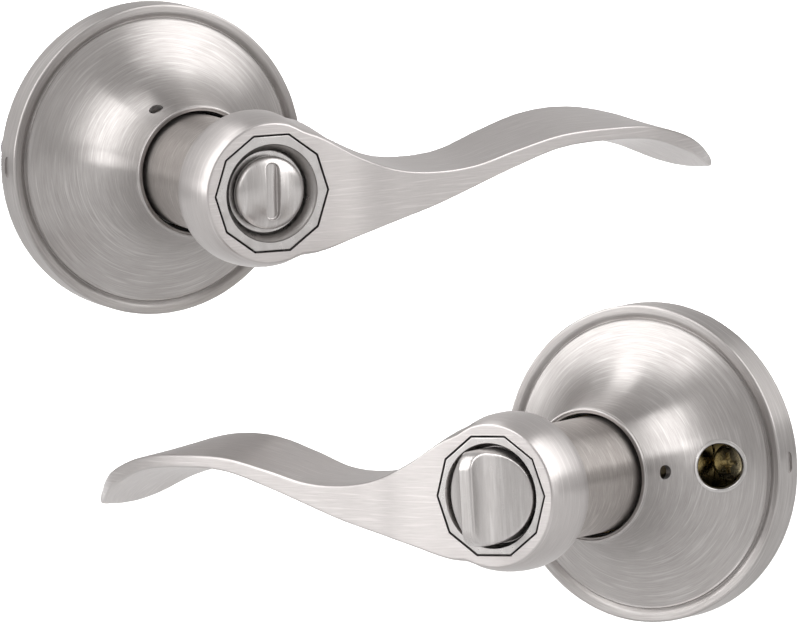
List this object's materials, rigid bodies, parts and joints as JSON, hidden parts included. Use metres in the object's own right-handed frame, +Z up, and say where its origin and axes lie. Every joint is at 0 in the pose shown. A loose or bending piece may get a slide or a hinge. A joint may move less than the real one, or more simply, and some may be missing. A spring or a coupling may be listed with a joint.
{
  "type": "privacy door lever set",
  "caption": "Privacy lever set for an interior door: outside half with slotted release button and inside half with turn button, wave levers on round flared roses.",
  "frame": {"origin": "centre of the inside half's back plane, where it meets the door, on its spindle axis", "axes": "+Y into the door along the inside half's spindle axis, +Z up, +X away from the inside lever's tip"},
  "size_m": [0.2119, 0.1824, 0.1274],
  "materials": {
    "satin_nickel": "satin nickel plate, brushed",
    "zinc_steel": "bright zinc plated steel",
    "yellow_zinc": "yellow zinc plated steel screw",
    "spring_steel": "oiled spring steel",
    "black_nylon": "black moulded nylon"
  },
  "bodies": {
    "mounting": {"outside_mount_plate": "yellow_zinc", "outside_rose": "satin_nickel", "outside_spring_case": "yellow_zinc", "outside_return_spring": "spring_steel", "outside_collar_bush": "black_nylon", "outside_screw_post_left": "zinc_steel", "outside_screw_post_right": "zinc_steel", "inside_mount_plate": "yellow_zinc", "inside_rose": "satin_nickel", "inside_spring_case": "yellow_zinc", "inside_return_spring": "spring_steel", "inside_collar_bush": "black_nylon", "inside_mounting_screw_left": "yellow_zinc", "inside_mounting_screw_right": "yellow_zinc"},
    "outside_handle": {"outside_drive_hub": "zinc_steel", "outside_retaining_ring": "spring_steel", "outside_neck_sleeve": "satin_nickel", "outside_catch_spring": "spring_steel", "outside_lever": "satin_nickel", "outside_button_insert": "satin_nickel", "outside_spindle": "zinc_steel"},
    "outside_catch": {"outside_lever_catch": "zinc_steel"},
    "outside_button": {"outside_release_button": "satin_nickel", "outside_turn_bar": "zinc_steel"},
    "inside_handle": {"inside_drive_hub": "zinc_steel", "inside_retaining_ring": "spring_steel", "inside_neck_sleeve": "satin_nickel", "inside_catch_spring": "spring_steel", "inside_lever": "satin_nickel", "inside_button_insert": "satin_nickel"},
    "inside_catch": {"inside_lever_catch": "zinc_steel"},
    "inside_button": {"inside_turn_button": "satin_nickel", "inside_turn_shaft": "zinc_steel"}
  },
  "joints": [
    {"name": "outside_lever_turn", "type": "hinge", "parent": "mounting", "child": "outside_handle", "pos_m": [-0.139, 0.027, 0.0615], "axis": [0.8174, -0.5723, -0.0663], "range_deg": [-45, 45], "stiffness_Nm_per_rad": 1.5, "springref_deg": 2.29},
    {"name": "outside_button_turn", "type": "hinge", "parent": "outside_handle", "child": "outside_button", "pos_m": [-0.139, 0.027, 0.0615], "axis": [0.8174, -0.5723, -0.0663], "range_deg": [0, 90]},
    {"name": "outside_catch_press", "type": "slide", "parent": "outside_handle", "child": "outside_catch", "axis": [0.212, 0.4058, -0.889], "range_m": [0, 0.0015], "stiffness_N_per_m": 400, "springref_m": -0.001, "deforming": ["outside_catch_spring"]},
    {"name": "inside_lever_turn", "type": "hinge", "parent": "mounting", "child": "inside_handle", "pos_m": [0, 0, 0], "axis": [0, -1, 0], "range_deg": [-45, 45], "stiffness_Nm_per_rad": 1.5, "springref_deg": -2.29},
    {"name": "inside_button_turn", "type": "hinge", "parent": "inside_handle", "child": "inside_button", "pos_m": [0, 0, 0], "axis": [0, -1, 0], "range_deg": [0, 90]},
    {"name": "inside_catch_press", "type": "slide", "parent": "inside_handle", "child": "inside_catch", "axis": [-1, 0, 0], "range_m": [0, 0.0015], "stiffness_N_per_m": 400, "springref_m": -0.001, "deforming": ["inside_catch_spring"]}
  ]
}
